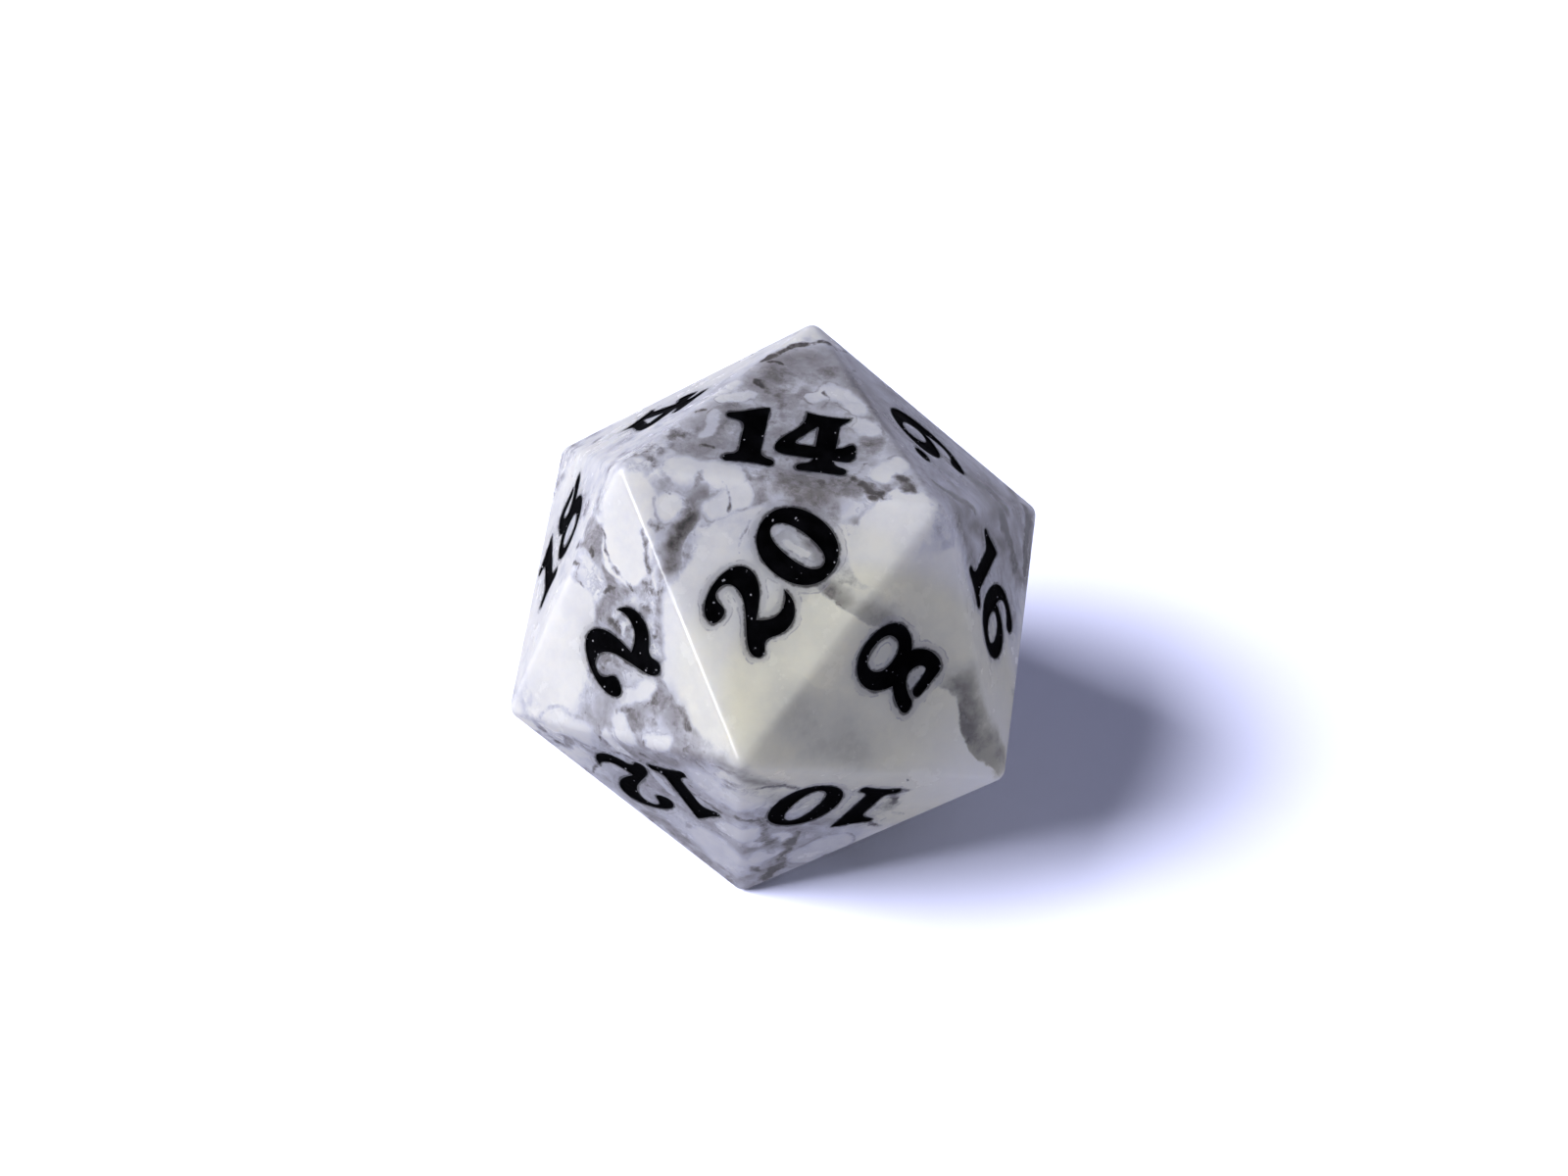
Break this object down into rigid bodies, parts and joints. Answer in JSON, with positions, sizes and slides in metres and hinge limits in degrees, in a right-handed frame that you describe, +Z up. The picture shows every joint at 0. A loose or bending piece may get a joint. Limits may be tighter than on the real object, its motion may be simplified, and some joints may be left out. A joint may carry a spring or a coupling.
{
  "type": "polyhedral die",
  "caption": "Twenty-sided gaming die of white grey-veined stone, softly rounded edges, with engraved numerals filled in glossy black paint.",
  "frame": {"origin": "middle of the face the die rests on (the one numbered 7), which is the centre of the bottom of its bounding box", "axes": "+Z up through the face numbered 14; -Y towards the front, the side that the face numbered 20 leans over; +X to the right seen from the front"},
  "size_m": [0.0214, 0.0244, 0.02],
  "materials": {
    "veined_stone": "polished",
    "black_paint": "gloss"
  },
  "bodies": {
    "root": {"die_body": "veined_stone", "paint_10_ones": "black_paint", "paint_10_tens": "black_paint", "paint_11_ones": "black_paint", "paint_11_tens": "black_paint", "paint_12_ones": "black_paint", "paint_12_tens": "black_paint", "paint_13_ones": "black_paint", "paint_13_tens": "black_paint", "paint_14_ones": "black_paint", "paint_14_tens": "black_paint", "paint_15_ones": "black_paint", "paint_15_tens": "black_paint", "paint_16_ones": "black_paint", "paint_16_tens": "black_paint", "paint_17_ones": "black_paint", "paint_17_tens": "black_paint", "paint_18_ones": "black_paint", "paint_18_tens": "black_paint", "paint_19_ones": "black_paint", "paint_19_tens": "black_paint", "paint_1_digit": "black_paint", "paint_20_ones": "black_paint", "paint_20_tens": "black_paint", "paint_2_digit": "black_paint", "paint_3_digit": "black_paint", "paint_4_digit": "black_paint", "paint_5_digit": "black_paint", "paint_6_digit": "black_paint", "paint_6_dot": "black_paint", "paint_7_digit": "black_paint", "paint_8_digit": "black_paint", "paint_9_digit": "black_paint", "paint_9_dot": "black_paint"}
  },
  "joints": []
}
